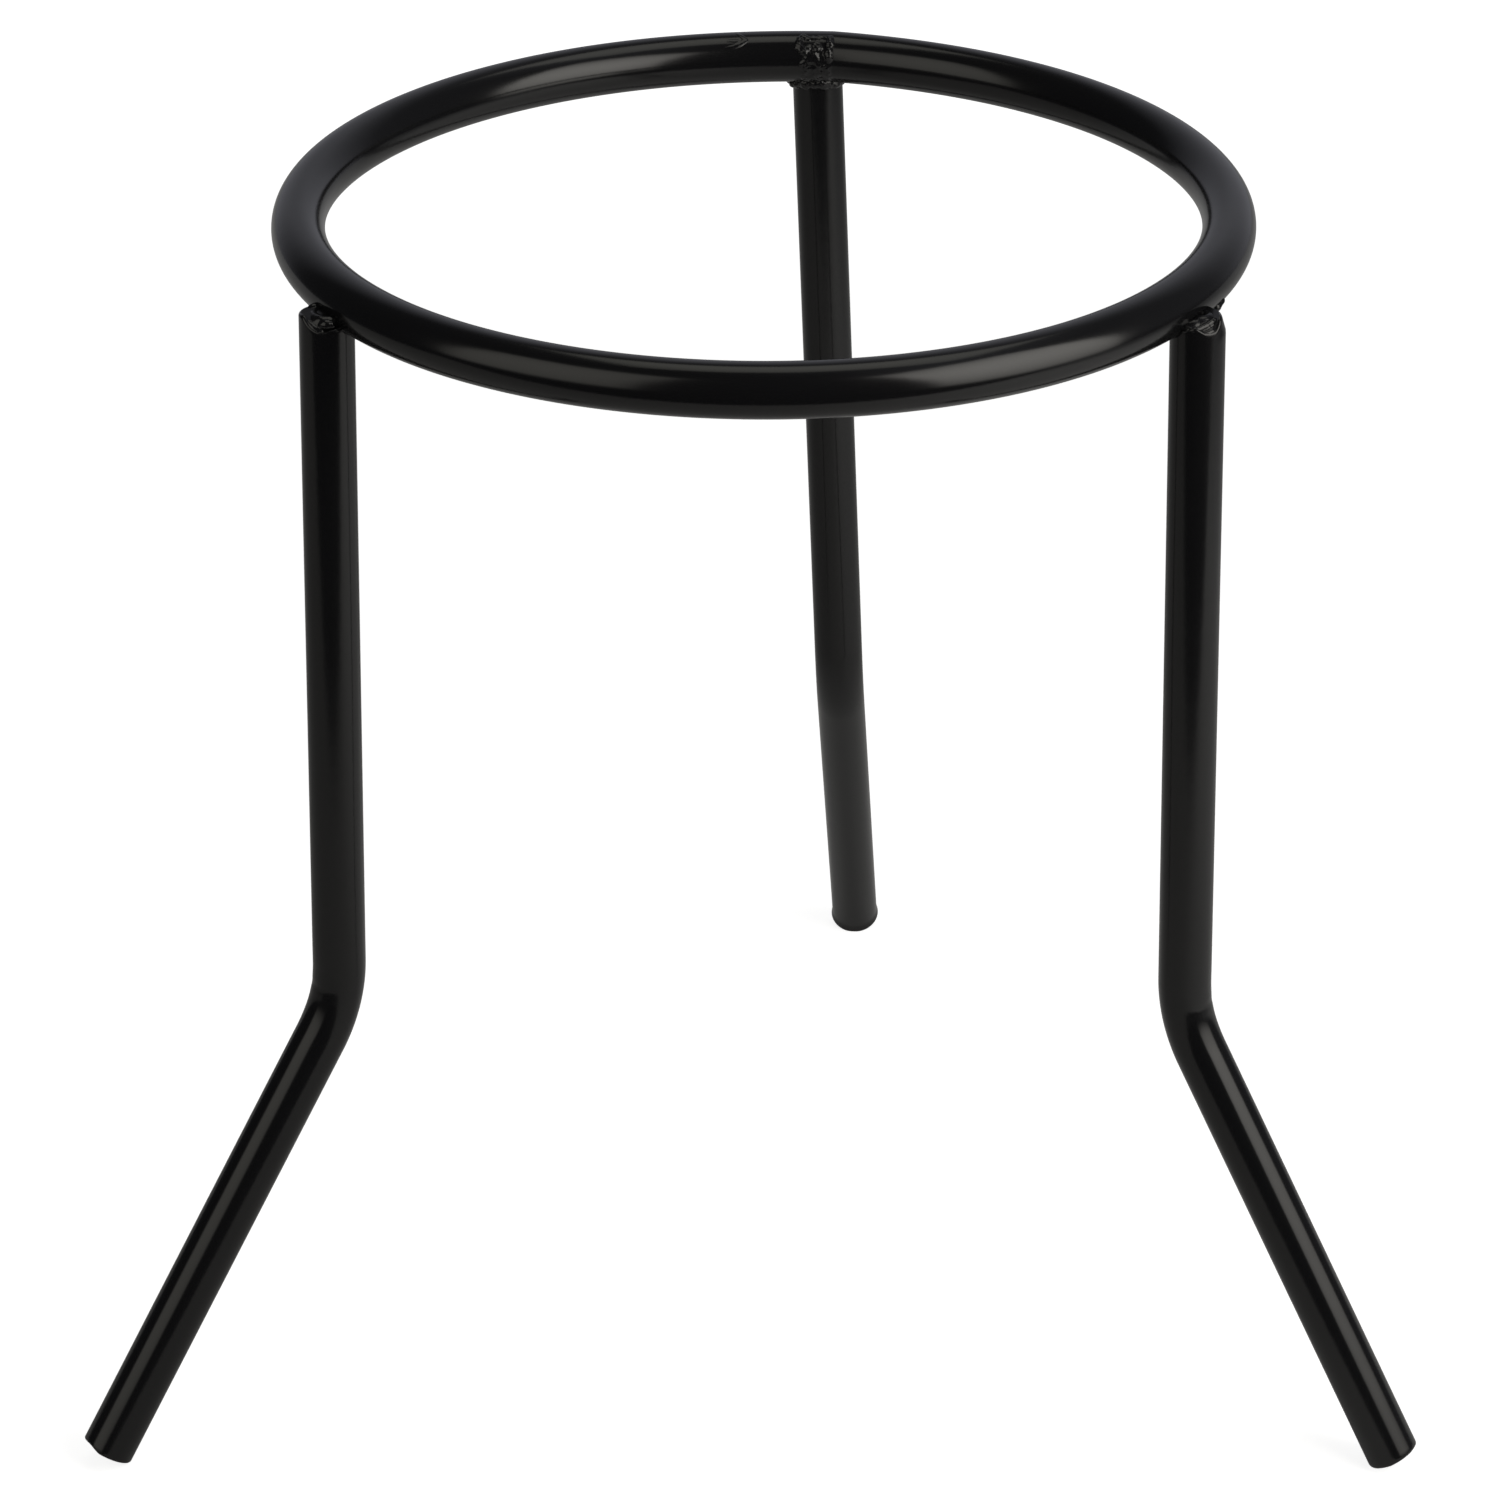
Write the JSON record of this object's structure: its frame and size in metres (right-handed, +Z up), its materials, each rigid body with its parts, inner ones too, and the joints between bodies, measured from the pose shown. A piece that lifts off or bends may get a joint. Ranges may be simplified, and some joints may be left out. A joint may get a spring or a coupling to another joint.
{
  "type": "lab tripod stand",
  "caption": "Laboratory tripod stand: a round rod ring welded on bent rod legs that splay at the foot, painted gloss black, for holding glassware over a burner.",
  "frame": {"origin": "on the bench, under the centre of the ring", "axes": "+Z up along the ring's axis, -Z into the bench that the feet rest on, +Y towards the back leg, +X to the right as seen from the front"},
  "size_m": [0.2095, 0.197, 0.19],
  "materials": {
    "black_paint": "gloss black paint on steel rod, smooth with a few soft runs and specks",
    "weld_paint": "gloss black paint over rough weld beads, uneven and pitted"
  },
  "bodies": {
    "root": {"ring": "black_paint", "ring_weld": "weld_paint", "leg_back": "black_paint", "leg_left": "black_paint", "leg_right": "black_paint", "weld_back": "weld_paint", "weld_left": "weld_paint", "weld_right": "weld_paint"}
  },
  "joints": []
}
